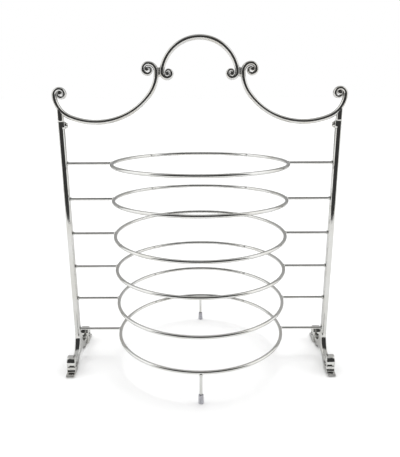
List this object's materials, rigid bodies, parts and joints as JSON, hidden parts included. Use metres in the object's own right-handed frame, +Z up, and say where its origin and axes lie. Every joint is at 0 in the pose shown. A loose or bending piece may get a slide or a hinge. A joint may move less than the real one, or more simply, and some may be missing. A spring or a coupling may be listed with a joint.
{
  "type": "plate stand",
  "caption": "Free-standing silver plate stand: wire rings hung between two scroll-footed uprights under a scrolled carrying handle; the upper rings tilt on their stubs.",
  "frame": {"origin": "on the table surface, midway between the four toes", "axes": "+Z up, +X to the right seen from the front, +Y to the rear; the rings turn about X"},
  "size_m": [0.3272, 0.206, 0.3862],
  "materials": {
    "silver_frame": "mirror-polished silver plate on brass bar and casting",
    "silver_handle": "mirror-polished silver plate on brass strip",
    "silver_wire": "mirror-polished silver plate on brass wire",
    "silver_screw": "polished silver-plated slotted screw",
    "cap_plastic": "smooth translucent grey plastic"
  },
  "bodies": {
    "stand": {"upright_left": "silver_frame", "foot_left": "silver_frame", "handle_scroll_left": "silver_handle", "handle_block_left": "silver_handle", "handle_post_left": "silver_frame", "upright_right": "silver_frame", "foot_right": "silver_frame", "handle_scroll_right": "silver_handle", "handle_block_right": "silver_handle", "handle_post_right": "silver_frame", "handle_arch": "silver_handle", "handle_screws": "silver_screw", "ring_1": "silver_wire", "stub_1_left": "silver_wire", "stub_1_right": "silver_wire", "leg_front": "silver_wire", "leg_cap_front": "cap_plastic", "leg_rear": "silver_wire", "leg_cap_rear": "cap_plastic"},
    "tier_2": {"ring_2": "silver_wire", "stub_2_left": "silver_wire", "stub_2_right": "silver_wire"},
    "tier_3": {"ring_3": "silver_wire", "stub_3_left": "silver_wire", "stub_3_right": "silver_wire"},
    "tier_4": {"ring_4": "silver_wire", "stub_4_left": "silver_wire", "stub_4_right": "silver_wire"},
    "tier_5": {"ring_5": "silver_wire", "stub_5_left": "silver_wire", "stub_5_right": "silver_wire"},
    "tier_6": {"ring_6": "silver_wire", "stub_6_left": "silver_wire", "stub_6_right": "silver_wire"}
  },
  "joints": [
    {"name": "ring_2_tilt", "type": "hinge", "parent": "stand", "child": "tier_2", "pos_m": [0, 0, 0.08], "axis": [1, 0, 0], "range_deg": [-50, 0]},
    {"name": "ring_3_tilt", "type": "hinge", "parent": "stand", "child": "tier_3", "pos_m": [0, 0, 0.122], "axis": [1, 0, 0], "range_deg": [-78.3, 1.7]},
    {"name": "ring_4_tilt", "type": "hinge", "parent": "stand", "child": "tier_4", "pos_m": [0, 0, 0.164], "axis": [1, 0, 0], "range_deg": [-80, 0]},
    {"name": "ring_5_tilt", "type": "hinge", "parent": "stand", "child": "tier_5", "pos_m": [0, 0, 0.206], "axis": [1, 0, 0], "range_deg": [-76.9, 3.1]},
    {"name": "ring_6_tilt", "type": "hinge", "parent": "stand", "child": "tier_6", "pos_m": [0, 0, 0.248], "axis": [1, 0, 0], "range_deg": [-78.1, 1.9]}
  ]
}
